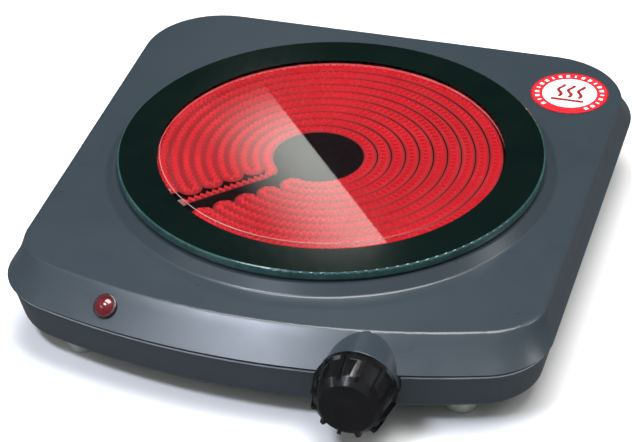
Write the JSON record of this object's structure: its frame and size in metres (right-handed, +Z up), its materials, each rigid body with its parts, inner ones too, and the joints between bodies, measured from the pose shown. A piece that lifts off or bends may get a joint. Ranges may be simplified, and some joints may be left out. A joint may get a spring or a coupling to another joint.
{
  "type": "hot plate burner",
  "caption": "Free-standing electric hot plate with a round glass cooking disc, ribbon heater, bowed control panel with a ribbed knob and pilot lamp, on rubber feet.",
  "frame": {"origin": "middle of the footprint, on the surface that the feet stand on", "axes": "+X to the user's right, +Y from the control panel to the rear, +Z up"},
  "size_m": [0.251, 0.2874, 0.053],
  "materials": {
    "slate_paint": "satin slate blue-grey paint",
    "pan_paint": "satin slate paint, slightly darker",
    "zinc_steel": "bright zinc-plated steel",
    "spring_steel": "sprung sheet steel",
    "foot_rubber": "matt grey rubber",
    "hob_glass": "polished dark-bordered glass-ceramic",
    "seal_rubber": "black silicone",
    "insulation": "pressed fibre board, matt",
    "insulation_rim": "moulded fibre ring, matt",
    "hot_ribbon": "resistance alloy, glowing red",
    "nickel_strip": "nickel-plated strip",
    "steatite": "unglazed steatite",
    "brown_moulding": "moulded phenolic",
    "white_moulding": "moulded polyamide",
    "bimetal": "rolled bimetal",
    "copper_alloy": "copper alloy spring",
    "silver_contact": "silver facing",
    "knob_black": "gloss black moulding",
    "lamp_body": "dark red moulding",
    "lamp_red": "translucent red lens",
    "clear_glass": "clear drawn glass",
    "bush_black": "black moulded bush",
    "brass_screw": "turned brass",
    "clear_sleeve": "milky insulating sleeve",
    "wire_brown": "silicone insulation",
    "wire_black": "silicone insulation",
    "wire_red": "braided glass sleeve",
    "wire_blue": "silicone insulation",
    "wire_green": "striped insulation",
    "wire_white": "thin insulation",
    "label_paper": null
  },
  "bodies": {
    "housing": {"top_cover": "slate_paint", "cover_standoffs": "zinc_steel", "base_pan": "pan_paint", "feet": "foot_rubber", "foot_screws": "zinc_steel", "glass_disc": "hob_glass", "glass_seal": "seal_rubber", "heater_dish": "zinc_steel", "insulation_board": "insulation", "insulation_rim": "insulation_rim", "heating_ribbon": "hot_ribbon", "heater_terminals": "nickel_strip", "heater_terminal_block": "steatite", "heater_supports": "spring_steel", "support_rivets": "zinc_steel", "thermal_cutout": "steatite", "cutout_terminals": "nickel_strip", "regulator_housing": "brown_moulding", "regulator_bracket": "spring_steel", "bracket_screws": "zinc_steel", "lever_pin": "zinc_steel", "regulator_terminals": "nickel_strip", "contact_blade": "copper_alloy", "contact_points": "silver_contact", "lamp_bezel": "lamp_body", "lamp_lens": "lamp_red", "lamp_nut": "spring_steel", "neon_bulb": "clear_glass", "cord_bush": "bush_black", "terminal_block": "white_moulding", "block_screws": "brass_screw", "block_fixings": "zinc_steel", "earth_stud": "zinc_steel", "earth_nut": "zinc_steel", "earth_tag": "nickel_strip", "push_on_sleeves": "clear_sleeve", "wire_live": "wire_brown", "wire_load": "wire_black", "wire_heater": "wire_red", "wire_neutral": "wire_blue", "wire_earth": "wire_green", "lamp_leads": "wire_white", "round_label": "label_paper"},
    "control": {"control_knob": "knob_black", "knob_clip": "spring_steel", "control_spindle": "white_moulding", "snail_cam": "white_moulding", "spindle_clip": "spring_steel"},
    "lever": {"follower_lever": "spring_steel", "bimetal_strip": "bimetal"}
  },
  "joints": [
    {"name": "control_turn", "type": "hinge", "parent": "housing", "child": "control", "pos_m": [0.049, -0.1, 0.0258], "axis": [0, 1, 0], "range_deg": [-140, 140]},
    {"name": "lever_swing", "type": "hinge", "parent": "housing", "child": "lever", "pos_m": [0.0395, -0.1, 0.0356], "axis": [0, 1, 0], "range_deg": [-7, 7]}
  ],
  "couplings": [
    {"joint": "lever_swing", "follows": "control_turn", "ratio": -0.0475}
  ]
}
